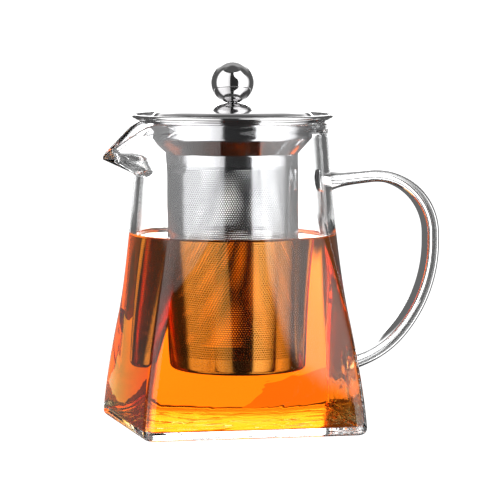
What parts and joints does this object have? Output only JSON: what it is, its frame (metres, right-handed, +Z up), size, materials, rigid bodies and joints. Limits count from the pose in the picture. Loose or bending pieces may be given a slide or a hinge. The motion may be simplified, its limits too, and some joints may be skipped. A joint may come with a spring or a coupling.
{
  "type": "glass teapot with infuser",
  "caption": "Square-based clear glass teapot with a pulled beak and a fused glass handle, a lift-out steel infuser and a low domed steel lid with a ball knob.",
  "frame": {"origin": "centre of the square foot, on the surface the pot stands on", "axes": "+Z up; the beak points along -X and the handle along +X"},
  "size_m": [0.1466, 0.0964, 0.1556],
  "materials": {
    "glass": "clear, fire polished",
    "handle_glass": "clear, solid",
    "infuser_steel": "smooth satin",
    "perforated_steel": "perforated sheet, satin",
    "polished_steel": "mirror polished",
    "screw_steel": "plain"
  },
  "bodies": {
    "pot": {"glass_body": "glass", "glass_handle": "handle_glass"},
    "infuser": {"infuser_collar": "infuser_steel", "infuser_sleeve": "perforated_steel", "infuser_cup": "infuser_steel"},
    "lid": {"lid_shell": "polished_steel", "lid_ring": "infuser_steel", "knob_ball": "polished_steel", "knob_washer": "screw_steel", "knob_screw": "screw_steel"}
  },
  "joints": [
    {"name": "infuser_lift", "type": "slide", "parent": "pot", "child": "infuser", "axis": [0, 0, 1], "range_m": [0, 0.12]},
    {"name": "lid_lift", "type": "slide", "parent": "infuser", "child": "lid", "axis": [0, 0, 1], "range_m": [0, 0.03]}
  ]
}
